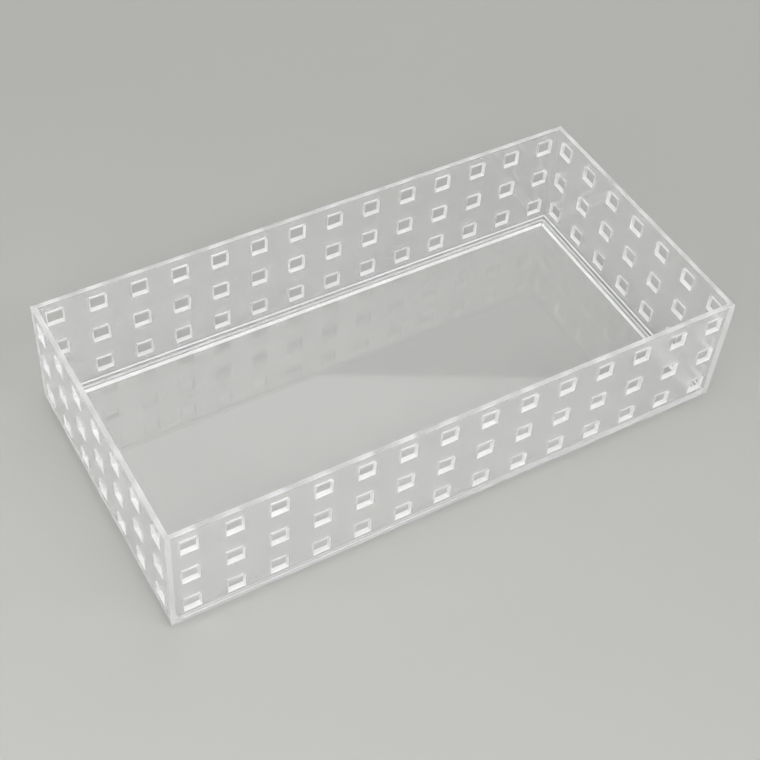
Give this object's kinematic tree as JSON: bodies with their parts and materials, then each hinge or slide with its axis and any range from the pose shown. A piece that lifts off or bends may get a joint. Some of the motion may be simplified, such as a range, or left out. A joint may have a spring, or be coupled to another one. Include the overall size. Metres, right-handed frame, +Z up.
{
  "type": "stackable storage box",
  "caption": "Open clear plastic storage box with square-cut corners, walls pierced by a lattice of square holes, and a foot under the floor that nests in the rim of the box below.",
  "frame": {"origin": "middle of the foot's underside, on the surface that the box stands on", "axes": "+X along the long side, +Y from the front long wall to the back one, +Z up"},
  "size_m": [0.34, 0.17, 0.0755],
  "materials": {
    "clear_wall": "clear, finely frosted outside and polished inside",
    "clear_floor": "clear, polished",
    "clear_foot": "clear, polished"
  },
  "bodies": {
    "root": {"front_wall": "clear_wall", "back_wall": "clear_wall", "left_wall": "clear_wall", "right_wall": "clear_wall", "floor_panel": "clear_floor", "front_foot_rail": "clear_foot", "back_foot_rail": "clear_foot", "left_foot_rail": "clear_foot", "right_foot_rail": "clear_foot"}
  },
  "joints": []
}
